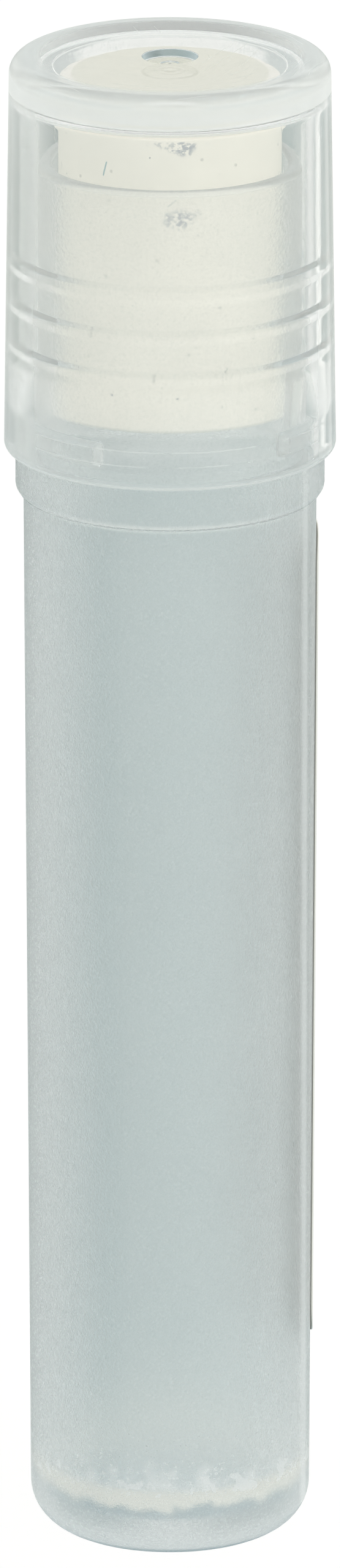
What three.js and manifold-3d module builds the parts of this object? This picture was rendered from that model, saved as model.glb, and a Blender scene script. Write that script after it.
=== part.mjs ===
// A flat-bottomed polypropylene sample tube with a stepped neck, a white plug that stops its mouth,
// a clear push-on cap that covers plug and neck down to the tube's collar, and a blank paper label.
//
// Units are millimetres. +Z is up, the origin is the centre of the tube's flat bottom, and the front is -Y.
// Angles around the axis are measured from the front towards +X.

import * as THREE from 'three';
import { mergeVertices } from 'three/addons/utils/BufferGeometryUtils.js';
import Module from 'manifold-3d';

// ---- Driving dimensions -------------------------------------------------------------------------

const HEIGHT = 96.4;                // bottom of the tube to the top of the cap
const SEGMENTS = 48;                // facets around every turned piece
const ARC_STEPS = 4;                // facets along every rounded edge of a profile
const SEAT_GAP = 0.05;              // between the cap's lower rim and the collar it stands on
const WELD = 1e-4;                  // corners closer than this are one

const TUBE = {
  bottomRadius: 8.82,               // body radius just above the rounded bottom
  topRadius: 9.16,                  // body radius just below the collar
  bottomRounding: 2.8,
  floor: 2.2,                       // thickness of the floor
  floorRounding: 1.2,               // where floor and bore meet
  boreBottomRadius: 6.6,
  boreNeckRadius: 7.02,             // the land that grips the plug
  boreLandTop: 76.5,
  boreLandBottom: 74.0,
  mouthRadius: 7.4,
  collarRadius: 9.66,
  collarBottom: 68.4,
  collarRounding: 0.55,
  neckRadius: 8.25,
  rim: 90.05,                       // top of the mouth
  rimRounding: 0.25,
};

// Two lugs stand opposite each other on the neck, each with a low upright rib that reaches into it.
const LUG = { radius: 8.88, bottom: 72.0, top: 73.8, startAngle: 50, sweep: 101.5 };
const STOP = { radius: 8.4, bottom: 73.5, top: 77.5, startAngle: 53, sweep: 17 };

const CAP = {
  wallBottom: 71.2,
  topRadius: 10.0,
  bottomRadius: 10.38,
  topRounding: 1.05,
  bottomRounding: 0.45,
  plate: 2.2,                       // thickness of the flat top
  landRadius: 7.3,                  // inner edge of the sealing land under the plate
  landDepth: 0.25,
  boreRadius: 8.5,
  boreRounding: 0.6,
  skirtRadius: 9.05,                // wider mouth that passes over the lugs
  skirtTop: 74.0,
  flareTop: 77.2,                   // from here the bore widens down to the skirt
  dimpleRadius: 1.75,
  dimpleFloorRadius: 1.65,
  dimpleDepth: 0.5,
};

// Three sealing ribs on the inside of the cap, from the top one down.
const RIBS = [
  { height: 83.45, width: 1.3 },
  { height: 80.75, width: 1.0 },
  { height: 78.1, width: 0.9 },
];
const RIB_CREST = 8.31;             // radius at the ribs' crests, just clear of the neck
const RIB_FLANK = 0.3;              // height of the sloping flank above and below each crest

const PLUG = { radius: 6.96, bottom: 74.35, length: 19.35, rounding: 0.25, topRadius: 5.97, bevelHeight: 0.35 };

const LABEL = { bottom: 12.2, top: 65.9, startAngle: 82.5, sweep: 45, thickness: 0.13, glueGap: 0.03 };

// ---- Profiles -----------------------------------------------------------------------------------

// The points of the round edge that replaces one corner of a profile.
function roundedCorner(before, corner, after, radius) {
  const toBefore = before.clone().sub(corner).normalize();
  const toAfter = after.clone().sub(corner).normalize();
  const halfAngle = Math.acos(toBefore.dot(toAfter)) / 2;
  const tangentLength = radius / Math.tan(halfAngle);
  const centreDirection = toBefore.clone().add(toAfter).normalize();
  const centre = corner.clone().addScaledVector(centreDirection, radius / Math.sin(halfAngle));
  const start = corner.clone().addScaledVector(toBefore, tangentLength);
  const end = corner.clone().addScaledVector(toAfter, tangentLength);
  const turn = Math.sign(toBefore.cross(toAfter)) * (2 * halfAngle - Math.PI);
  const points = [start];
  for (let step = 1; step < ARC_STEPS; step += 1) {
    points.push(start.clone().rotateAround(centre, turn * step / ARC_STEPS));
  }
  points.push(end);
  return points;
}

// A profile from corners written as [radius, height, rounding], where the rounding may be left out.
function profile(corners) {
  const places = corners.map(([radius, height]) => new THREE.Vector2(radius, height));
  return corners.flatMap(([, , rounding], index) => {
    if (!rounding) return [places[index]];
    return roundedCorner(places[index - 1], places[index], places[index + 1], rounding);
  });
}

// A solid of revolution about Z, from a profile that starts and ends on the axis.
function turned(corners) {
  const geometry = new THREE.LatheGeometry(profile(corners), SEGMENTS);
  return geometry.rotateX(Math.PI / 2);
}

// ---- Solids -------------------------------------------------------------------------------------

const wasm = await Module();
wasm.setup();

function toSolid(geometry) {
  const bare = geometry.clone();
  bare.deleteAttribute('normal');
  bare.deleteAttribute('uv');
  const welded = mergeVertices(bare, WELD);
  const vertProperties = new Float32Array(welded.attributes.position.array);
  const triVerts = new Uint32Array(welded.index.array);
  return new wasm.Manifold(new wasm.Mesh({ numProp: 3, vertProperties, triVerts }));
}

function toGeometry(solid) {
  const mesh = solid.getMesh();
  const geometry = new THREE.BufferGeometry();
  geometry.setAttribute('position', new THREE.BufferAttribute(mesh.vertProperties, 3));
  geometry.setIndex(new THREE.BufferAttribute(mesh.triVerts, 1));
  geometry.computeVertexNormals();
  return geometry;
}

// A ring sector between two radii and two heights, from startAngle over sweep degrees.
function sector({ inner, outer, bottom, top, startAngle, sweep }) {
  const start = THREE.MathUtils.degToRad(startAngle - 90);
  const end = THREE.MathUtils.degToRad(startAngle + sweep - 90);
  const shape = new THREE.Shape();
  shape.absarc(0, 0, outer, start, end, false);
  shape.absarc(0, 0, inner, end, start, true);
  shape.closePath();
  const depth = top - bottom;
  const geometry = new THREE.ExtrudeGeometry(shape, { depth, bevelEnabled: false, curveSegments: 12 });
  return geometry.translate(0, 0, bottom);
}

// ---- Tube ---------------------------------------------------------------------------------------

function tubeOutline() {
  const t = TUBE;
  return [
    [0, 0],
    [t.bottomRadius, 0, t.bottomRounding],
    [t.topRadius, t.collarBottom],
    [t.collarRadius, t.collarBottom, t.collarRounding],
    [t.collarRadius, CAP.wallBottom - SEAT_GAP],
    [t.neckRadius, CAP.wallBottom - SEAT_GAP],
    [t.neckRadius, t.rim, t.rimRounding],
    [t.mouthRadius, t.rim, t.rimRounding],
    [t.boreNeckRadius, t.boreLandTop],
    [t.boreNeckRadius, t.boreLandBottom],
    [t.boreBottomRadius, t.floor, t.floorRounding],
    [0, t.floor],
  ];
}

// An arc-shaped lug at the foot of the neck, over which the cap's skirt drops, with a low upright rib on it.
function neckLug(turn) {
  const inner = (TUBE.neckRadius + TUBE.boreNeckRadius) / 2;
  const lug = { ...LUG, inner, outer: LUG.radius, startAngle: LUG.startAngle + turn };
  const stop = { ...STOP, inner, outer: STOP.radius, startAngle: STOP.startAngle + turn };
  return toSolid(sector(lug)).add(toSolid(sector(stop)));
}

function tubeBody() {
  const solid = toSolid(turned(tubeOutline())).add(neckLug(0)).add(neckLug(180));
  const material = new THREE.MeshStandardMaterial({
    color: 0xc4cfcf, roughness: 0.45, metalness: 0, transparent: true, opacity: 0.8,
  });
  return named('tube_body', toGeometry(solid), material);
}

// ---- Cap ----------------------------------------------------------------------------------------

// One sealing rib on the inside of the cap, listed downwards.
function ribCorners({ height, width }) {
  const top = height + width / 2;
  const bottom = height - width / 2;
  return [
    [CAP.boreRadius, top],
    [RIB_CREST, top - RIB_FLANK],
    [RIB_CREST, bottom + RIB_FLANK],
    [CAP.boreRadius, bottom],
  ];
}

function capOutline() {
  const c = CAP;
  const underside = HEIGHT - c.plate;
  return [
    [0, underside],
    [c.landRadius, underside],
    [c.landRadius, underside - c.landDepth],
    [c.boreRadius, underside - c.landDepth, c.boreRounding],
    ...RIBS.flatMap(ribCorners),
    [c.boreRadius, c.flareTop],
    [c.skirtRadius, c.skirtTop],
    [c.skirtRadius, c.wallBottom],
    [c.bottomRadius, c.wallBottom, c.bottomRounding],
    [c.topRadius, HEIGHT, c.topRounding],
    [c.dimpleRadius, HEIGHT],
    [c.dimpleFloorRadius, HEIGHT - c.dimpleDepth],
    [0, HEIGHT - c.dimpleDepth],
  ];
}

function cap() {
  const material = new THREE.MeshStandardMaterial({
    color: 0xd6dedc, roughness: 0.15, metalness: 0, transparent: true, opacity: 0.45,
  });
  return named('cap', turned(capOutline()), material);
}

// ---- Plug ---------------------------------------------------------------------------------------

function plug() {
  const { radius, bottom, length, rounding, topRadius, bevelHeight } = PLUG;
  const outline = [
    [0, bottom],
    [radius, bottom, rounding],
    [radius, bottom + length - bevelHeight],
    [topRadius, bottom + length],
    [0, bottom + length],
  ];
  const material = new THREE.MeshStandardMaterial({ color: 0xe6e6da, roughness: 0.75, metalness: 0 });
  return named('plug', turned(outline), material);
}

// ---- Label --------------------------------------------------------------------------------------

// The body's radius at a height, on the straight stretch between bottom and collar.
function bodyRadius(height) {
  return THREE.MathUtils.lerp(TUBE.bottomRadius, TUBE.topRadius, height / TUBE.collarBottom);
}

// A flat sheet bent around the body, glued to its slight taper.
function label() {
  const { bottom, top, startAngle, sweep, thickness, glueGap } = LABEL;
  const facets = Math.round(sweep / (360 / SEGMENTS));
  const geometry = new THREE.BoxGeometry(sweep, top - bottom, thickness, facets, 1, 1);
  const position = geometry.attributes.position;
  for (let index = 0; index < position.count; index += 1) {
    const angle = THREE.MathUtils.degToRad(startAngle + sweep / 2 + position.getX(index));
    const height = (top + bottom) / 2 + position.getY(index);
    const radius = bodyRadius(height) + glueGap + thickness / 2 + position.getZ(index);
    position.setXYZ(index, radius * Math.sin(angle), -radius * Math.cos(angle), height);
  }
  geometry.computeVertexNormals();
  const material = new THREE.MeshStandardMaterial({ color: 0xdedcd2, roughness: 0.8, metalness: 0 });
  return named('label', geometry, material);
}

// ---- Assembly -----------------------------------------------------------------------------------

function named(name, geometry, material) {
  const mesh = new THREE.Mesh(geometry, material);
  mesh.name = name;
  return mesh;
}

const sampleTube = new THREE.Group();
sampleTube.add(tubeBody(), label(), plug(), cap());

export default sampleTube;
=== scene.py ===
"""A capped sample tube: frosted tube body, clear push-on cap, cream plug and blank paper label.

The turned shapes are built here as fine meshes from outlines in millimetres. They stand where the CAD nodes
stand. Angles round the axis are measured in degrees from the front (-Y) towards +X.
"""

import math
from collections import namedtuple

import bmesh
import bpy
from mathutils import Matrix, Vector


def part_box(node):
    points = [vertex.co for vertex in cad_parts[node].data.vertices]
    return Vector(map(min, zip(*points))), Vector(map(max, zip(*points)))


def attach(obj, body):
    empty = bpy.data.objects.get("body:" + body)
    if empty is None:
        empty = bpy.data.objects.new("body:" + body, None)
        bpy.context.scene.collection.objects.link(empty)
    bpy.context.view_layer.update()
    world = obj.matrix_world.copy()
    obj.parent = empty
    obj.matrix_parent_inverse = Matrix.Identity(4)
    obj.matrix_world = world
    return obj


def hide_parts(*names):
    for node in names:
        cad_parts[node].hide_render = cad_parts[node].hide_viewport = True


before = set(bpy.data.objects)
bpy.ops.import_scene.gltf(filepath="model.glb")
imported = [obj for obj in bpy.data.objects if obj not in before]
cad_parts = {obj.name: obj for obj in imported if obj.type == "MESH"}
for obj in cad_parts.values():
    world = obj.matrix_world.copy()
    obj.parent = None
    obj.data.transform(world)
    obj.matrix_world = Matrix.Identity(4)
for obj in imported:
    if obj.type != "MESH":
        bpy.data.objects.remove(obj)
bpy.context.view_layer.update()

MM = 0.001
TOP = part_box("cap")[1].z / MM
SKIRT_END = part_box("cap")[0].z / MM
PLUG_LOW, PLUG_HIGH = (corner.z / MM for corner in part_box("plug"))
PLUG_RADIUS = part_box("plug")[1].x / MM
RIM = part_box("tube_body")[1].z / MM
COLLAR_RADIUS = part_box("tube_body")[1].x / MM
CAP_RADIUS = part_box("cap")[1].x / MM
LABEL_LOW, LABEL_HIGH = (corner.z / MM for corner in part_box("label"))

# ---- Meshes from outlines ---------------------------------------------------------------------------

ARC_STEP = math.radians(7.5)        # angle between the points of a rounded edge
SUPPORT = 0.06                      # an extra ring this near each end of a straight stretch keeps it flat
SHARP = math.radians(35)            # edges that turn by more than this are shown sharp
ON_AXIS = 1e-6                      # a point of an outline nearer to the axis than this is one vertex
TUBE_FACETS, CAP_FACETS, PLUG_FACETS = 240, 256, 192


def rounded_corner(before, corner, after, rounding):
    """The points of the round edge that replaces one corner of an outline."""
    to_before = (before - corner).normalized()
    to_after = (after - corner).normalized()
    half = to_before.angle(to_after) / 2
    centre = corner + (to_before + to_after).normalized() * rounding / math.sin(half)
    start = corner + to_before * rounding / math.tan(half) - centre
    side = to_before.x * to_after.y - to_before.y * to_after.x
    turn = math.copysign(math.pi - 2 * half, -side)
    steps = max(3, round(abs(turn) / ARC_STEP))
    return [centre + Matrix.Rotation(turn * k / steps, 2) @ start for k in range(steps + 1)]


def with_supports(points):
    """The outline with a point near each end of its longer straight stretches."""
    result = [points[0]]
    for start, end in zip(points, points[1:]):
        length = (end - start).length
        if length > 4 * SUPPORT:
            along = (end - start) / length
            result += [start + along * SUPPORT, end - along * SUPPORT]
        result.append(end)
    return result


def outline(corners):
    """An outline from corners written as (radius, height, rounding), where the rounding may be left out."""
    places = [Vector(corner[:2]) for corner in corners]
    points = []
    for k, corner in enumerate(corners):
        if len(corner) == 3:
            points += rounded_corner(places[k - 1], places[k], places[k + 1], corner[2])
        else:
            points.append(places[k])
    return with_supports(points)


def even_angles(count):
    """That many angles in degrees, evenly round the axis."""
    return [k * 360 / count for k in range(count)]


def add_object(name, mesh):
    """A smooth-shaded object in the scene, with its real edges kept sharp."""
    bm = bmesh.new()
    bm.from_mesh(mesh)
    bmesh.ops.recalc_face_normals(bm, faces=bm.faces)
    for edge in bm.edges:
        edge.smooth = not (len(edge.link_faces) == 2 and edge.calc_face_angle() > SHARP)
    for face in bm.faces:
        face.smooth = True
    bm.to_mesh(mesh)
    bm.free()
    made = bpy.data.objects.new(name, mesh)
    bpy.context.scene.collection.objects.link(made)
    return made


def turned(name, points, angles, reshape=None):
    """An object turned about Z from an outline whose ends lie on the axis.

    reshape takes a radius, a height and an angle and gives the radius and height to use there.
    """
    verts, rings = [], []
    for point in points:
        radius, height = point
        if radius < ON_AXIS:
            rings.append([len(verts)] * len(angles))
            verts.append((0, 0, height * MM))
            continue
        rings.append(range(len(verts), len(verts) + len(angles)))
        for angle in angles:
            r, z = reshape(radius, height, angle) if reshape else (radius, height)
            a = math.radians(angle)
            verts.append((r * math.sin(a) * MM, -r * math.cos(a) * MM, z * MM))
    faces = []
    for low, high in zip(rings, rings[1:]):
        for k in range(len(angles)):
            n = (k + 1) % len(angles)
            corners = (low[k], low[n], high[n], high[k])
            faces.append(tuple(dict.fromkeys(corners)))
    mesh = bpy.data.meshes.new(name)
    mesh.from_pydata(verts, [], faces)
    return add_object(name, mesh)


def smoothstep(low, high, value):
    """0 below low, 1 above high and a smooth rise between them."""
    t = min(max((value - low) / (high - low), 0.0), 1.0)
    return t * t * (3 - 2 * t)


# ---- Tube body --------------------------------------------------------------------------------------

BODY_LOW_RADIUS, BODY_HIGH_RADIUS = 8.82, 9.16
COLLAR_LOW = 68.4
COLLAR_SEAT = SKIRT_END - 0.05      # the collar's top, on which the cap stands
NECK_RADIUS = 8.25
MOUTH_RADIUS = 7.4
LAND_RADIUS = 7.02                  # the stretch of bore that grips the plug
LAND_START, LAND_END = 74.0, 76.5
BORE_LOW_RADIUS = 6.6
FLOOR = 2.2

# A pad raised out of the neck: between two angles and two heights, out to a radius, with a rounded edge.
Pad = namedtuple("Pad", "first last low high radius edge")
LUG = Pad(50, 151.5, 72.0, 73.8, 8.88, 0.42)
STOP = Pad(53, 70, 73.2, 77.5, 8.36, 1.1)       # the low upright rib that reaches into the lug
PAD_CORNER = 0.5
PAD_TURNS = (0, 180)                # lug and rib stand on the neck twice, half a turn apart
NECK_FINE = 0.12                    # height between rings where the lugs are


def body_radius(height):
    """The body's radius at a height between the bottom and the collar."""
    return BODY_LOW_RADIUS + (BODY_HIGH_RADIUS - BODY_LOW_RADIUS) * height / COLLAR_LOW


def pad_share(pad, height, angle):
    """How far a raised pad stands out at a place on the neck, from 0 outside it to 1 on its flat."""
    middle = math.radians((pad.first + pad.last) / 2)
    half_width = math.radians((pad.last - pad.first) / 2) * pad.radius
    turn = (math.radians(angle) - middle + math.pi) % (2 * math.pi) - math.pi
    across = half_width - abs(turn * pad.radius)
    up = (pad.high - pad.low) / 2 - abs(height - (pad.high + pad.low) / 2)
    if across < PAD_CORNER and up < PAD_CORNER:
        inside = PAD_CORNER - math.hypot(PAD_CORNER - across, PAD_CORNER - up)
    else:
        inside = min(across, up)
    return smoothstep(0, pad.edge, inside)


def neck_shape(radius, height, angle):
    """Raises the lugs and their ribs out of the neck."""
    on_neck = abs(radius - NECK_RADIUS) < 0.01
    if not on_neck:
        return radius, height
    raised = 0.0
    for pad in (LUG, STOP):
        for turn in PAD_TURNS:
            raised = max(raised, (pad.radius - NECK_RADIUS) * pad_share(pad, height, angle - turn))
    return radius + raised, height


def lug_angles():
    """Even angles round the tube, with steps of half a degree near each end of a lug or rib."""
    angles = set(even_angles(TUBE_FACETS))
    for pad in (LUG, STOP):
        for end in (pad.first, pad.last):
            for turn in PAD_TURNS:
                angles |= {(end + turn + 0.5 * k) % 360 for k in range(-8, 9)}
    return sorted(angles)


def build_tube_body():
    """The tube with its collar, lugs and neck, round the outside and back down the bore."""
    fine_rings = range(1, int((STOP.high + 0.5 - COLLAR_SEAT) / NECK_FINE))
    points = outline([
        (0, 0),
        (BODY_LOW_RADIUS, 0, 2.8),
        (BODY_HIGH_RADIUS, COLLAR_LOW, 0.25),
        (COLLAR_RADIUS, COLLAR_LOW, 0.55),
        (COLLAR_RADIUS, COLLAR_SEAT, 0.08),
        (NECK_RADIUS, COLLAR_SEAT, 0.15),
        *((NECK_RADIUS, COLLAR_SEAT + 0.2 + k * NECK_FINE) for k in fine_rings),
        (NECK_RADIUS, RIM, 0.3),
        (MOUTH_RADIUS, RIM, 0.3),
        (LAND_RADIUS, LAND_END, 3),
        (LAND_RADIUS, LAND_START, 1),
        (BORE_LOW_RADIUS, FLOOR, 1.2),
        (0, FLOOR),
    ])
    return turned("tube_shell", points, lug_angles(), neck_shape)


# ---- Cap --------------------------------------------------------------------------------------------

CAP_HIGH_RADIUS = 10.0
CAP_BORE_RADIUS = 8.5
UNDERSIDE = TOP - 2.2
SEAL_RADIUS = 7.3                   # inner edge of the sealing land under the plate
SEAL_LOW = UNDERSIDE - 0.25
SKIRT_RADIUS = 9.05
FLARE_TOP, FLARE_LOW = 77.2, 74.0   # between these the bore widens down to the skirt
RIBS = ((83.45, 1.3), (80.75, 1.0), (78.1, 0.9))    # the sealing ribs, each as (height, width)
RIB_HEIGHT = 0.11
DIMPLE_RADIUS = 1.75
DIMPLE_FLOOR = TOP - 0.5


def rib_points(height, width):
    """One sealing rib inside the cap, listed downwards: a rise, a crest and a fall."""
    high, low = height + width / 2, height - width / 2
    crest = CAP_BORE_RADIUS - RIB_HEIGHT
    return [
        (CAP_BORE_RADIUS, high, 0.3),
        (crest, high - 0.4, 0.4),
        (crest, low + 0.38, 0.4),
        (CAP_BORE_RADIUS, low, 0.3),
    ]


def dimple_points():
    """The moulding dimple in the middle of the cap's top, from its edge in to the low ring and gate mark."""
    return [
        (DIMPLE_RADIUS, TOP, 0.05),
        (DIMPLE_RADIUS - 0.1, DIMPLE_FLOOR, 0.08),
        (0.95, DIMPLE_FLOOR, 0.05),
        (0.85, DIMPLE_FLOOR + 0.04, 0.05),
        (0.6, DIMPLE_FLOOR + 0.04, 0.05),
        (0.5, DIMPLE_FLOOR - 0.03, 0.05),
        (0.2, DIMPLE_FLOOR - 0.01, 0.05),
        (0, DIMPLE_FLOOR + 0.08),
    ]


def build_cap():
    """The cap, from the middle of its underside down the bore, up the outside and in to the dimple."""
    points = outline([
        (0, UNDERSIDE),
        (SEAL_RADIUS, UNDERSIDE, 0.06),
        (SEAL_RADIUS, SEAL_LOW, 0.06),
        (CAP_BORE_RADIUS, SEAL_LOW, 0.6),
        *(corner for rib in RIBS for corner in rib_points(*rib)),
        (CAP_BORE_RADIUS, FLARE_TOP, 2.5),
        (SKIRT_RADIUS, FLARE_LOW, 2.5),
        (SKIRT_RADIUS, SKIRT_END, 0.12),
        (CAP_RADIUS, SKIRT_END, 0.45),
        (CAP_HIGH_RADIUS, TOP, 1.05),
        *dimple_points(),
    ])
    return turned("cap_shell", points, even_angles(CAP_FACETS))


# ---- Plug -------------------------------------------------------------------------------------------

PLUG_TOP_RADIUS = 5.97              # where the bevel round its top begins
PLUG_BEVEL = 0.35


def build_plug():
    """A solid stopper with a bevelled top."""
    points = outline([
        (0, PLUG_LOW),
        (PLUG_RADIUS, PLUG_LOW, 0.3),
        (PLUG_RADIUS, PLUG_HIGH - PLUG_BEVEL, 0.3),
        (PLUG_TOP_RADIUS, PLUG_HIGH, 0.4),
        (0, PLUG_HIGH),
    ])
    return turned("plug_solid", points, even_angles(PLUG_FACETS))


# ---- Label ------------------------------------------------------------------------------------------

LABEL_FIRST, LABEL_LAST = 85.0, 126.0           # on the right, turned a little to the back
LABEL_THICK = 0.13
LABEL_CORNER = 2.5
LABEL_ROWS, LABEL_COLUMNS = 60, 30
GLUE_GAP = 0.03


def label_rows():
    """Heights above the label's lower edge, closer together along the rounded corners."""
    height = LABEL_HIGH - LABEL_LOW
    corner = [LABEL_CORNER * (1 - math.cos(math.radians(a))) for a in range(0, 91, 10)]
    straight = height - 2 * LABEL_CORNER
    middle = [LABEL_CORNER + straight * k / LABEL_ROWS for k in range(1, LABEL_ROWS)]
    return corner + middle + [height - z for z in reversed(corner)]


def label_verts(rows, lift):
    """One face of the label as rows of points, lifted off the body by GLUE_GAP and lift, with the rows
    shorter at the corners.
    """
    height = LABEL_HIGH - LABEL_LOW
    middle = math.radians((LABEL_FIRST + LABEL_LAST) / 2)
    half = math.radians((LABEL_LAST - LABEL_FIRST) / 2)
    verts = []
    for z in rows:
        radius = body_radius(LABEL_LOW + z) + GLUE_GAP + lift
        into_corner = max(LABEL_CORNER - z, z - height + LABEL_CORNER, 0)
        inset = LABEL_CORNER - math.sqrt(max(LABEL_CORNER**2 - into_corner**2, 0))
        reach = half - inset / radius
        for k in range(LABEL_COLUMNS + 1):
            a = middle + reach * (2 * k / LABEL_COLUMNS - 1)
            verts.append((radius * math.sin(a) * MM, -radius * math.cos(a) * MM, (LABEL_LOW + z) * MM))
    return verts


def build_label():
    """A paper sheet with rounded corners, bent round the body and closed along its rim."""
    rows = label_rows()
    verts = label_verts(rows, 0) + label_verts(rows, LABEL_THICK)
    wide, last_row = LABEL_COLUMNS + 1, len(rows) - 1
    layer_size = wide * len(rows)
    faces = []
    for first in (0, layer_size):
        for j in range(last_row):
            for k in range(LABEL_COLUMNS):
                a = first + j * wide + k
                faces.append((a, a + 1, a + 1 + wide, a + wide))
    rim = list(range(wide)) + [j * wide + LABEL_COLUMNS for j in range(1, last_row + 1)]
    rim += [last_row * wide + k for k in range(LABEL_COLUMNS - 1, -1, -1)]
    rim += [j * wide for j in range(last_row - 1, 0, -1)]
    for a, b in zip(rim, rim[1:] + rim[:1]):
        faces.append((a, b, b + layer_size, a + layer_size))
    mesh = bpy.data.meshes.new("label_sheet")
    mesh.from_pydata(verts, [], faces)
    return add_object("label_sheet", mesh)


# ---- Material nodes ---------------------------------------------------------------------------------


def add_node(tree, kind, inputs=None, **settings):
    """A node with its settings, and its inputs given as values or as sockets to link."""
    made = tree.nodes.new(kind)
    for key, value in settings.items():
        setattr(made, key, value)
    for key, value in (inputs or {}).items():
        if isinstance(value, bpy.types.NodeSocket):
            tree.links.new(value, made.inputs[key])
        else:
            made.inputs[key].default_value = value
    return made


def new_material(name):
    """An empty material and its node tree."""
    made = bpy.data.materials.new(name)
    made.use_nodes = True
    made.node_tree.nodes.clear()
    return made, made.node_tree


def give(tree, shader):
    """Sends a shader to the material's output."""
    add_node(tree, "ShaderNodeOutputMaterial", {"Surface": shader})


def object_place(tree):
    """The place on the piece, in metres, which stays with it when it moves."""
    return add_node(tree, "ShaderNodeTexCoord").outputs["Object"]


def noise(tree, place, scale, detail, **more):
    """Soft noise with scale cells to a metre."""
    return add_node(tree, "ShaderNodeTexNoise", {"Vector": place, "Scale": scale, "Detail": detail, **more})


def bump(tree, height, strength, distance, normal=None):
    """The normal of a surface with a fine relief, distance metres deep."""
    inputs = {"Height": height, "Strength": strength, "Distance": distance}
    if normal is not None:
        inputs["Normal"] = normal
    return add_node(tree, "ShaderNodeBump", inputs).outputs["Normal"]


def math_node(tree, operation, *values, clamp=False):
    """The result of one operation on values or sockets."""
    inputs = dict(enumerate(values))
    return add_node(tree, "ShaderNodeMath", inputs, operation=operation, use_clamp=clamp).outputs[0]


def span(tree, value, low, high, to_low=0.0, to_high=1.0):
    """The value carried from one span to another and held inside it, easing at both ends."""
    inputs = {"Value": value, "From Min": low, "From Max": high, "To Min": to_low, "To Max": to_high}
    return add_node(tree, "ShaderNodeMapRange", inputs, interpolation_type="SMOOTHSTEP").outputs[0]


def blend_colours(tree, share, first, second):
    """first where share is 0 and second where it is 1."""
    inputs = {"Factor": share, 6: first, 7: second}
    return add_node(tree, "ShaderNodeMix", inputs, data_type="RGBA").outputs[2]


def stretched(tree, place, x=1.0, y=1.0, z=1.0):
    """Object coordinates scaled along each axis, so that a texture on them gets longer or shorter."""
    inputs = {0: place, 1: (x, y, z)}
    return add_node(tree, "ShaderNodeVectorMath", inputs, operation="MULTIPLY").outputs[0]


def product(tree, *factors):
    """All the factors multiplied."""
    result = factors[0]
    for factor in factors[1:]:
        result = math_node(tree, "MULTIPLY", result, factor)
    return result


def add_shares(tree, total, *parts):
    """The total plus every part, each given as (share, amount) and counted as their product."""
    for share, amount in parts:
        total = math_node(tree, "MULTIPLY_ADD", share, amount, total)
    return total


def distance_out(tree, place):
    """The distance from the tube's axis, in mm."""
    flat = stretched(tree, place, 1 / MM, 1 / MM, 0)
    return add_node(tree, "ShaderNodeVectorMath", {0: flat}, operation="LENGTH").outputs["Value"]


def along_axis(tree, place, axis):
    """The place along X, Y or Z, in mm."""
    return math_node(tree, "DIVIDE", add_node(tree, "ShaderNodeSeparateXYZ", {0: place}).outputs[axis], MM)


def seen_edge_on(tree):
    """1 where a surface is seen edge-on, falling fast to 0 where it faces the eye."""
    facing = add_node(tree, "ShaderNodeLayerWeight", {"Blend": 0.5}).outputs["Facing"]
    return math_node(tree, "POWER", facing, 3)


def spot(tree, place, centre, reach, wobble):
    """1 at a point given in mm, falling to 0 at reach (mm along x, y and z), with a ragged edge.

    wobble is the scale of the noise that makes the edge ragged.
    """
    ragged = noise(tree, place, wobble, 5).outputs["Color"]
    shift = add_node(tree, "ShaderNodeVectorMath", {0: ragged, 1: (0.5, 0.5, 0.5)}, operation="SUBTRACT")
    spread = tuple(side * 1.6 * MM for side in reach)
    moved = add_node(tree, "ShaderNodeVectorMath", {0: shift.outputs[0], 1: spread, 2: place},
                     operation="MULTIPLY_ADD")
    away = add_node(tree, "ShaderNodeVectorMath", {
        0: moved.outputs[0],
        1: tuple(part * MM for part in centre),
    }, operation="SUBTRACT")
    shares = stretched(tree, away.outputs[0], *(1 / (side * MM) for side in reach))
    length = add_node(tree, "ShaderNodeVectorMath", {0: shares}, operation="LENGTH").outputs["Value"]
    return span(tree, length, 1.0, 0.35)


def streak(tree, place, start, end, width):
    """1 along a thin straight line between two points in mm, falling to 0 at width from it."""
    first, last = Vector(start), Vector(end)
    along = (last - first).normalized()
    point = add_node(tree, "ShaderNodeVectorMath", {0: place, "Scale": 1 / MM}, operation="SCALE")
    away = add_node(tree, "ShaderNodeVectorMath", {0: point.outputs[0], 1: first}, operation="SUBTRACT")
    away = away.outputs[0]
    run = add_node(tree, "ShaderNodeVectorMath", {0: away, 1: along}, operation="DOT_PRODUCT")
    run = run.outputs["Value"]
    run = add_node(tree, "ShaderNodeClamp", {0: run, 1: 0, 2: (last - first).length}).outputs[0]
    nearest = add_node(tree, "ShaderNodeVectorMath", {0: along, "Scale": run}, operation="SCALE").outputs[0]
    gap = add_node(tree, "ShaderNodeVectorMath", {0: away, 1: nearest}, operation="DISTANCE").outputs["Value"]
    return span(tree, gap, width, width * 0.4)


def specks(tree, place, scale, size, share):
    """Scattered small dots: 1 inside a dot.

    size is their radius as a share of a cell's side, and share is how many of the cells have one.
    """
    cells = add_node(tree, "ShaderNodeTexVoronoi", {"Vector": place, "Scale": scale})
    near = math_node(tree, "LESS_THAN", cells.outputs["Distance"], size)
    pick = add_node(tree, "ShaderNodeSeparateColor", {0: cells.outputs["Color"]}).outputs[0]
    return math_node(tree, "MULTIPLY", near, math_node(tree, "LESS_THAN", pick, share))


def let_light_in(tree, shader, tint):
    """Lets soft light and shadow rays through a see-through shader, tinted, so what is behind stays lit."""
    path = add_node(tree, "ShaderNodeLightPath")
    clear = add_node(tree, "ShaderNodeBsdfTransparent", {"Color": tint})
    for ray in ("Is Diffuse Ray", "Is Shadow Ray"):
        mixed = add_node(tree, "ShaderNodeMixShader", {0: path.outputs[ray], 1: shader, 2: clear.outputs[0]})
        shader = mixed.outputs[0]
    return shader


POLYPROPYLENE_IOR = 1.49


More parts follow.
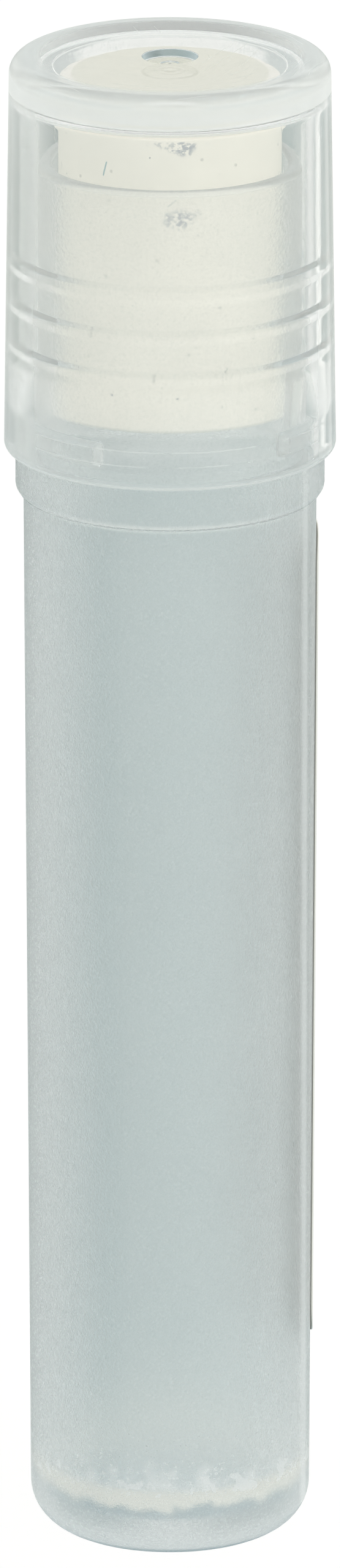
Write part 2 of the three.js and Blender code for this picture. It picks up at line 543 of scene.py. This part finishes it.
def plastic(tree, tint, roughness, milkiness, milk, normal):
    """Moulded see-through plastic: refracting, with a share of light scattered forwards and back."""
    clear = add_node(tree, "ShaderNodeBsdfPrincipled", {
        "Base Color": tint,
        "Roughness": roughness,
        "IOR": POLYPROPYLENE_IOR,
        "Transmission Weight": 1.0,
        "Normal": normal,
    })
    forward = add_node(tree, "ShaderNodeBsdfTranslucent", {"Color": milk, "Normal": normal})
    back = add_node(tree, "ShaderNodeBsdfDiffuse", {"Color": milk, "Normal": normal})
    scattered = add_node(tree, "ShaderNodeMixShader", {0: 0.5, 1: forward.outputs[0], 2: back.outputs[0]})
    both = {0: milkiness, 1: clear.outputs[0], 2: scattered.outputs[0]}
    return add_node(tree, "ShaderNodeMixShader", both).outputs[0]


# ---- Cap plastic ------------------------------------------------------------------------------------

# Places, heights and radii that are given as numbers are in millimetres, and shares run from 0 to 1.

SKIRT_LINES = (73.49, 72.54)        # heights of two faint moulding lines inside the cap's skirt

# Hairline scratches on top of the cap, as ((x, y) of the start, (x, y) of the end).
SCRATCHES = (
    ((4.1, 3.4), (2.0, -1.6)),
    ((4.9, 3.0), (2.2, -3.2)),
    ((4.3, 0.9), (6.6, 1.2)),
    ((5.6, 1.9), (4.5, -2.0)),
    ((-2.3, 6.9), (-1.9, 5.4)),
    ((-1.0, 7.0), (-0.6, 5.5)),
)
SCRATCH_WIDTH = 0.045               # half their width


def flow_arcs(tree, place, height):
    """Thin broken arcs round the gate on top of the cap, left where the plastic flowed outwards."""
    bend = noise(tree, place, 260, 2).outputs["Fac"]
    out = math_node(tree, "MULTIPLY_ADD", bend, 1.1, distance_out(tree, place))
    ring = math_node(tree, "FRACT", math_node(tree, "MULTIPLY", out, 1.3))
    line = math_node(tree, "LESS_THAN", ring, 0.07)
    x, y = along_axis(tree, place, "X"), along_axis(tree, place, "Y")
    right = span(tree, math_node(tree, "SUBTRACT", x, y), -1, 3)
    broken = span(tree, noise(tree, place, 300, 2).outputs["Fac"], 0.5, 0.6)
    return product(tree, line, right, broken, span(tree, height, TOP - 0.2, TOP - 0.05))


def skirt_lines(tree, place, height, clouds):
    """The broken moulding lines inside the cap's skirt."""
    inside = math_node(tree, "LESS_THAN", distance_out(tree, place), SKIRT_RADIUS + 0.1)
    broken = span(tree, clouds, 0.42, 0.5)
    total = 0.0
    for line_height in SKIRT_LINES:
        gap = math_node(tree, "ABSOLUTE", math_node(tree, "SUBTRACT", height, line_height))
        total = math_node(tree, "ADD", total, product(tree, span(tree, gap, 0.06, 0.03), inside, broken))
    return total


def scratches(tree, place):
    """The hairline scratches on top of the cap."""
    total = 0.0
    for start, end in SCRATCHES:
        line = streak(tree, place, (*start, TOP), (*end, TOP), SCRATCH_WIDTH)
        total = math_node(tree, "ADD", total, line)
    return total


def cap_haze(tree, place):
    """How milky the cap is: more in its thick rim, at its outline, on its left, at its lip and at marks."""
    out, height = distance_out(tree, place), along_axis(tree, place, "Z")
    clouds = noise(tree, place, 190, 4).outputs["Fac"]
    thick = product(tree, span(tree, out, 7.9, 8.6), span(tree, height, TOP - 2.1, TOP - 1.95))
    edge_on = product(tree, seen_edge_on(tree), span(tree, height, TOP - 0.6, TOP - 1.2))
    left = span(tree, along_axis(tree, place, "X"), -6, -9.5)
    lip = span(tree, height, SKIRT_END + 0.4, SKIRT_END + 0.1)
    return add_shares(
        tree, span(tree, clouds, 0.3, 0.7, 0.08, 0.12),
        (thick, 0.56),
        (edge_on, 0.85),
        (left, 0.1),
        (lip, 0.35),
        (flow_arcs(tree, place, height), 0.22),
        (skirt_lines(tree, place, height, clouds), 0.45),
        (scratches(tree, place), 0.35),
    )


def cap_material():
    """Clear polypropylene with a drawn-out skin and fine scuffs."""
    made, tree = new_material("clear_polypropylene")
    place = object_place(tree)
    skin = noise(tree, stretched(tree, place, z=0.25), 420, 3).outputs["Fac"]
    scuffs = noise(tree, stretched(tree, place, x=9), 700, 4).outputs["Fac"]
    normal = bump(tree, skin, 0.14, 0.00005)
    normal = bump(tree, span(tree, scuffs, 0.62, 0.7), 0.12, 0.00001, normal)
    haze = cap_haze(tree, place)
    body = plastic(tree, (0.965, 0.972, 0.967, 1), 0.03, haze, (0.94, 0.95, 0.94, 1), normal)
    give(tree, let_light_in(tree, body, (0.975, 0.977, 0.972, 1)))
    return made


# ---- Tube plastic -----------------------------------------------------------------------------------


def residue(tree, place, height, inside):
    """What has dried in the bore, as shares: a pale band above the floor and ragged puddles below it."""
    wobble = math_node(tree, "MULTIPLY_ADD", noise(tree, place, 420, 4).outputs["Fac"], 1.6, height)
    band = product(tree, span(tree, wobble, 3.5, 3.7), span(tree, height, 4.6, 4.2), inside)
    ragged = math_node(tree, "MULTIPLY_ADD", noise(tree, place, 560, 4).outputs["Fac"], 3.2, height)
    corner = span(tree, distance_out(tree, place), 5.2, 5.5)
    puddle = product(tree, span(tree, ragged, 4.8, 4.6), corner, inside)
    return band, puddle


def powder(tree, place, height):
    """White powder above the floor of the bore: clumps low down and fine specks that thin out upwards."""
    outside = span(tree, distance_out(tree, place), 8.0, 8.4)
    clumps = noise(tree, place, 1000, 3).outputs["Fac"]
    clumps = math_node(tree, "GREATER_THAN", clumps, span(tree, height, 8.7, 4.7, 0.9, 0.55))
    fine = noise(tree, place, 4200, 2).outputs["Fac"]
    fine = math_node(tree, "GREATER_THAN", fine, span(tree, height, 13.7, 4.7, 0.9, 0.6))
    either = math_node(tree, "MAXIMUM", clumps, product(tree, fine, outside, 0.6))
    facing = math_node(tree, "SUBTRACT", 1.0, seen_edge_on(tree))
    return product(tree, either, span(tree, height, 4.4, 4.6), facing)


def tube_haze(tree, place, height, grain):
    """How milky the tube is: more in its grain, on its left, in its base, at its outline, lugs and mouth."""
    out, across = distance_out(tree, place), along_axis(tree, place, "X")
    clouds = noise(tree, place, 160, 5).outputs["Fac"]
    # left: more milk and stronger grain on the tube's left side, a painted highlight standing in for side
    # light there.
    left = span(tree, across, -3, -8)
    spotty = math_node(tree, "MULTIPLY_ADD", left, 0.08, 0.1)
    right_edge = product(tree, span(tree, across, 8.1, 8.4), span(tree, across, 8.7, 8.5))
    glint = product(tree, right_edge, span(tree, out, 8.6, 8.7))
    clearer = product(tree, span(tree, across, -7.6, -6.2), span(tree, across, -2, -4.5),
                      math_node(tree, "LESS_THAN", height, COLLAR_LOW))
    above_collar = math_node(tree, "GREATER_THAN", height, COLLAR_SEAT + 0.3)
    flank = product(tree, span(tree, out, 8.28, 8.36), span(tree, out, 8.87, 8.8), above_collar)
    return add_shares(
        tree, span(tree, clouds, 0.3, 0.7, 0.08, 0.11),
        (span(tree, grain, 0.5, 0.7), spotty),
        (span(tree, height, 6.0, 2.8), 0.28),
        (left, 0.06),
        (clearer, -0.12),
        (glint, 0.4),
        (flank, 0.5),
        (product(tree, seen_edge_on(tree), span(tree, out, 8.5, 8.7)), 0.4),
        (span(tree, height, RIM - 0.4, RIM - 0.25), 0.35),
    )


def tube_material():
    """Frosted polypropylene with a fine grain, rougher in its bore and clearer in its neck."""
    made, tree = new_material("frosted_polypropylene")
    place = object_place(tree)
    height = along_axis(tree, place, "Z")
    neck = span(tree, height, COLLAR_SEAT, COLLAR_SEAT + 1)
    inside = span(tree, distance_out(tree, place), 8.0, 7.6)
    grain = noise(tree, place, 5200, 3, Roughness=0.7).outputs["Fac"]
    normal = bump(tree, grain, span(tree, neck, 0, 1, 1.0, 0.25), 0.00006)
    band, puddle = residue(tree, place, height, inside)
    milk = blend_colours(tree, band, (0.89, 0.905, 0.895, 1), (0.95, 0.91, 0.82, 1))
    milk = blend_colours(tree, puddle, milk, (0.4, 0.49, 0.52, 1))
    haze = add_shares(tree, tube_haze(tree, place, height, grain),
                      (puddle, 0.25), (band, 0.4), (powder(tree, place, height), 0.55))
    haze = math_node(tree, "MULTIPLY", haze, span(tree, neck, 0, 1, 1.0, 0.8), clamp=True)
    bore = product(tree, inside, span(tree, neck, 0, 1, 0.17, 0.0))
    roughness = math_node(tree, "ADD", bore, span(tree, neck, 0, 1, 0.16, 0.09))
    tint = blend_colours(tree, neck, (0.945, 0.965, 0.955, 1), (0.985, 0.985, 0.985, 1))
    body = plastic(tree, tint, roughness, haze, milk, normal)
    give(tree, let_light_in(tree, body, (0.99, 0.99, 0.99, 1)))
    return made


# ---- Rubber and paper -------------------------------------------------------------------------------

# Marks on the plug, as ((x, y, z) in mm, (reach along x, y and z in mm), strength).
SMUDGES = (
    ((0.65, -7.0, 92.55), (0.95, 2.0, 0.65), 0.8),
    ((0.1, -7.0, 92.75), (1.9, 2.0, 0.4), 0.5),
    ((0.5, -7.0, 88.1), (1.3, 2.0, 0.75), 0.8),
)
DOTS = (
    ((-3.2, -6.3, 76.7), (0.1, 1.0, 0.1), 0.8),
    ((0.4, -7.0, 76.65), (0.09, 1.0, 0.09), 0.9),
    ((1.6, -6.8, 87.0), (0.07, 1.0, 0.07), 0.6),
    ((-1.2, -6.9, 91.9), (0.07, 1.0, 0.07), 0.8),
    ((-2.1, -6.7, 82.6), (0.07, 1.0, 0.07), 0.6),
)
# Fine hairs and dashes on the plug, as (start in mm, end in mm, half width in mm, colour, strength).
HAIRS = (
    ((-3.95, -5.75, 90.5), (-3.75, -5.85, 91.35), 0.07, (0.16, 0.36, 0.4, 1), 0.8),
    ((1.2, -6.9, 87.6), (1.75, -6.8, 86.2), 0.03, (0.5, 0.38, 0.28, 1), 0.6),
    ((-0.1, -7.0, 88.9), (0.35, -7.0, 89.3), 0.08, (0.3, 0.33, 0.38, 1), 0.5),
    ((3.1, -6.25, 77.8), (3.2, -6.2, 78.3), 0.05, (0.2, 0.22, 0.2, 1), 0.8),
)


def add_marks(tree, place, colour):
    """The plug's colour with its smudges, dots and hairs laid over it."""
    blotches = span(tree, noise(tree, place, 4200, 3).outputs["Fac"], 0.42, 0.55)
    for centre, reach, strength in SMUDGES:
        mark = product(tree, spot(tree, place, centre, reach, 1400), blotches, strength)
        colour = blend_colours(tree, mark, colour, (0.3, 0.33, 0.38, 1))
    for centre, reach, strength in DOTS:
        mark = product(tree, spot(tree, place, centre, reach, 3000), strength)
        colour = blend_colours(tree, mark, colour, (0.12, 0.15, 0.2, 1))
    for start, end, width, shade, strength in HAIRS:
        mark = product(tree, streak(tree, place, start, end, width), strength)
        colour = blend_colours(tree, mark, colour, shade)
    return colour


def matte(tree, colour, roughness, normal):
    """An opaque matte surface."""
    inputs = {"Base Color": colour, "Roughness": roughness, "Normal": normal}
    return add_node(tree, "ShaderNodeBsdfPrincipled", inputs).outputs[0]


def plug_material():
    """Cream rubber: mottled, with fine dark specks and grey finger smudges, and painted shade over its top.
    """
    made, tree = new_material("cream_rubber")
    place = object_place(tree)
    grain = noise(tree, place, 1800, 4).outputs["Fac"]
    clouds = noise(tree, place, 230, 5).outputs["Fac"]
    colour = blend_colours(tree, span(tree, clouds, 0.3, 0.7), (0.9, 0.855, 0.76, 1), (0.95, 0.9, 0.8, 1))
    # Painted shade: the plug's top face is darkened to a greyer cream, standing in for less light falling on
    # it.
    top = span(tree, along_axis(tree, place, "Z"), PLUG_HIGH - 0.1, PLUG_HIGH - 0.03)
    colour = blend_colours(tree, top, colour, (0.7, 0.68, 0.54, 1))
    few = specks(tree, place, 1100, 0.12, 0.3)
    colour = blend_colours(tree, product(tree, few, 0.35), colour, (0.3, 0.3, 0.28, 1))
    colour = add_marks(tree, place, colour)
    give(tree, matte(tree, colour, 0.7, bump(tree, grain, 0.3, 0.00005)))
    return made


def depth_in_label(tree, place):
    """How far a place lies outside the label's glued face, in mm."""
    slope = (BODY_HIGH_RADIUS - BODY_LOW_RADIUS) / COLLAR_LOW
    out = add_shares(tree, distance_out(tree, place), (along_axis(tree, place, "Z"), -slope))
    return math_node(tree, "SUBTRACT", out, BODY_LOW_RADIUS + GLUE_GAP)


def label_material():
    """Uncoated paper with fine fibres, brown specks and painted shade on its inner side, where it faces the
    tube.
    """
    made, tree = new_material("label_paper")
    place = object_place(tree)
    fibres = noise(tree, stretched(tree, place, z=0.4), 1500, 5).outputs["Fac"]
    thickness = span(tree, fibres, 0.35, 0.65)
    colour = blend_colours(tree, thickness, (0.83, 0.82, 0.76, 1), (0.87, 0.865, 0.81, 1))
    # Painted shadow: the paper darkens towards its inner face, standing in for the shade between the label
    # and the tube.
    inner_shade = span(tree, depth_in_label(tree, place), 0.09, 0.05)
    colour = blend_colours(tree, inner_shade, colour, (0.22, 0.22, 0.2, 1))
    worn = specks(tree, place, 3600, 0.25, 0.06)
    colour = blend_colours(tree, product(tree, worn, 0.5), colour, (0.33, 0.27, 0.2, 1))
    give(tree, matte(tree, colour, 0.85, bump(tree, fibres, 0.3, 0.00003)))
    return made


# ---- Pieces -----------------------------------------------------------------------------------------


def add_piece(piece, material, body, node):
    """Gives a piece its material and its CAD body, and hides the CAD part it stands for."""
    piece.data.materials.append(material)
    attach(piece, body)
    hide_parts(node)


add_piece(build_tube_body(), tube_material(), "tube", "tube_body")
add_piece(build_label(), label_material(), "tube", "label")
add_piece(build_plug(), plug_material(), "plug", "plug")
add_piece(build_cap(), cap_material(), "cap", "cap")

# ---- Floor, light and camera ------------------------------------------------------------------------


def build_floor():
    """A wide white floor that only the camera sees, so that the plastic shows the surroundings through it."""
    size = 20.0
    corners = [(-size, -size, 0), (size, -size, 0), (size, size, 0), (-size, size, 0)]
    mesh = bpy.data.meshes.new("floor")
    mesh.from_pydata(corners, [], [(0, 1, 2, 3)])
    floor = bpy.data.objects.new("floor", mesh)
    bpy.context.scene.collection.objects.link(floor)
    made, tree = new_material("floor_white")
    path = add_node(tree, "ShaderNodeLightPath")
    unseen = add_node(tree, "ShaderNodeBsdfTransparent")
    paint = add_node(tree, "ShaderNodeBsdfDiffuse", {"Color": (0.5, 0.5, 0.5, 1)})
    glow = add_node(tree, "ShaderNodeEmission", {"Color": (1, 1, 1, 1), "Strength": 0.55})
    both = add_node(tree, "ShaderNodeAddShader", {0: paint.outputs[0], 1: glow.outputs[0]})
    shown = add_node(tree, "ShaderNodeMixShader", {
        0: path.outputs["Is Camera Ray"],
        1: unseen.outputs[0],
        2: both.outputs[0],
    })
    give(tree, shown.outputs[0])
    floor.data.materials.append(made)


# What surrounds the object, as (degrees from straight behind it towards the right, colour). The bench lies
# just below the horizon, and the walls stand above it.
BENCH = (
    (-180, (0.9, 0.92, 0.9)),
    (-120, (0.85, 0.87, 0.85)),
    (-60, (0.64, 0.67, 0.65)),
    (-40, (0.5, 0.54, 0.52)),
    (-31, (0.55, 0.58, 0.57)),
    (-28, (0.55, 0.58, 0.57)),
    (-25, (0.06, 0.12, 0.12)),
    (-8, (0.06, 0.12, 0.12)),
    (-4, (0.2, 0.28, 0.28)),
    (16, (0.24, 0.33, 0.33)),
    (25, (0.27, 0.35, 0.35)),
    (28, (1.25, 1.25, 1.21)),
    (34, (1.25, 1.25, 1.21)),
    (37, (0.5, 0.55, 0.54)),
    (42, (0.85, 0.86, 0.84)),
    (47, (0.85, 0.86, 0.84)),
    (51, (0.5, 0.55, 0.54)),
    (90, (0.62, 0.65, 0.63)),
    (130, (1.0, 1.01, 0.98)),
    (180, (0.9, 0.92, 0.9)),
)
WALLS = (
    (-180, (1.4, 1.4, 1.36)),
    (-140, (1.05, 1.05, 1.02)),
    (-110, (1.0, 1.01, 0.99)),
    (-80, (1.35, 1.35, 1.32)),
    (-45, (1.0, 1.01, 1.0)),
    (0, (1.0, 1.01, 1.0)),
    (70, (1.0, 1.01, 0.99)),
    (125, (1.65, 1.65, 1.6)),
    (180, (1.4, 1.4, 1.36)),
)
CEILING = (0.6, 0.605, 0.595)       # from about 50 degrees up
UNDERFOOT = (0.4, 0.51, 0.55)       # from about 25 degrees down; it shows in the walls of the cap's dimple
WINDOW = (0.95, 0.95, 0.93)         # a small white card straight behind the object, below the horizon
BRIGHTEST = 2.0                     # the sky's strength; a ramp holds colours only up to 1


def dimmed(colour):
    """A colour as shares of BRIGHTEST."""
    return (*(part / BRIGHTEST for part in colour), 1)


def round_ramp(tree, share, colours):
    """A colour all round the object, from a list of directions and colours."""
    ramp = add_node(tree, "ShaderNodeValToRGB", {0: share})
    stops = ramp.color_ramp.elements
    stops[1].position = 1
    for degrees, _ in colours[1:-1]:
        stops.new(0.5 + degrees / 360)
    for stop, (degrees, colour) in zip(stops, colours):
        stop.position = 0.5 + degrees / 360
        stop.color = dimmed(colour)
    return ramp.outputs[0]


def surroundings(tree):
    """What the object sees: bench and walls, the ceiling, what lies below the bench, and the window."""
    direction = add_node(tree, "ShaderNodeTexCoord").outputs["Generated"]
    axes = add_node(tree, "ShaderNodeSeparateXYZ", {0: direction})
    up = axes.outputs["Z"]
    turn = math_node(tree, "ARCTAN2", axes.outputs["X"], axes.outputs["Y"])
    share = add_node(tree, "ShaderNodeMapRange", {0: turn, 1: -math.pi, 2: math.pi}).outputs[0]
    height = span(tree, up, -0.12, 0.12)
    colour = blend_colours(tree, height, round_ramp(tree, share, BENCH), round_ramp(tree, share, WALLS))
    colour = blend_colours(tree, span(tree, up, 0.6, 0.9), colour, dimmed(CEILING))
    colour = blend_colours(tree, span(tree, up, -0.35, -0.45), colour, dimmed(UNDERFOOT))
    across = span(tree, math_node(tree, "ABSOLUTE", turn), 0.075, 0.055)
    window = product(tree, across, span(tree, up, -0.3, -0.285), span(tree, height, 0.5, 0.2))
    return blend_colours(tree, window, colour, dimmed(WINDOW))


def build_world():
    """The surroundings light the object and show through it, while the camera itself sees plain white."""
    world = bpy.data.worlds.new("studio")
    world.use_nodes = True
    bpy.context.scene.world = world
    tree = world.node_tree
    tree.nodes.clear()
    sky = add_node(tree, "ShaderNodeBackground", {"Color": surroundings(tree), "Strength": BRIGHTEST})
    seen = add_node(tree, "ShaderNodeBackground", {"Color": (1, 1, 1, 1), "Strength": 1.0})
    path = add_node(tree, "ShaderNodeLightPath")
    mixed = add_node(tree, "ShaderNodeMixShader", {
        0: path.outputs["Is Camera Ray"],
        1: sky.outputs[0],
        2: seen.outputs[0],
    })
    add_node(tree, "ShaderNodeOutputWorld", {"Surface": mixed.outputs[0]})


# The camera stands far off with a long lens, higher than the cap.
CAMERA_BACK = 1.1407                # metres from the tube's axis
CAMERA_UP = 0.3172                  # metres above the cap's top
CAMERA_TILT = math.radians(17.727)  # downwards
CAMERA_LENS = 291.7125              # mm, with a sensor that is 24 mm high


def build_camera():
    """A camera in front of the object that looks slightly down on it."""
    data = bpy.data.cameras.new("camera")
    data.sensor_fit = "VERTICAL"
    data.sensor_height = 24
    data.sensor_width = 24 * 4.6
    data.lens = CAMERA_LENS
    data.clip_start, data.clip_end = 0.05, 50
    camera = bpy.data.objects.new("camera", data)
    camera.location = (0, -CAMERA_BACK, TOP * MM + CAMERA_UP)
    camera.rotation_euler = (math.pi / 2 - CAMERA_TILT, 0, 0)
    bpy.context.scene.collection.objects.link(camera)
    bpy.context.scene.camera = camera


build_floor()
build_world()
build_camera()

bpy.context.scene.view_settings.view_transform = "Standard"
bpy.context.scene.cycles.max_bounces = 24
bpy.context.scene.cycles.transmission_bounces = 16
bpy.context.scene.cycles.transparent_max_bounces = 16
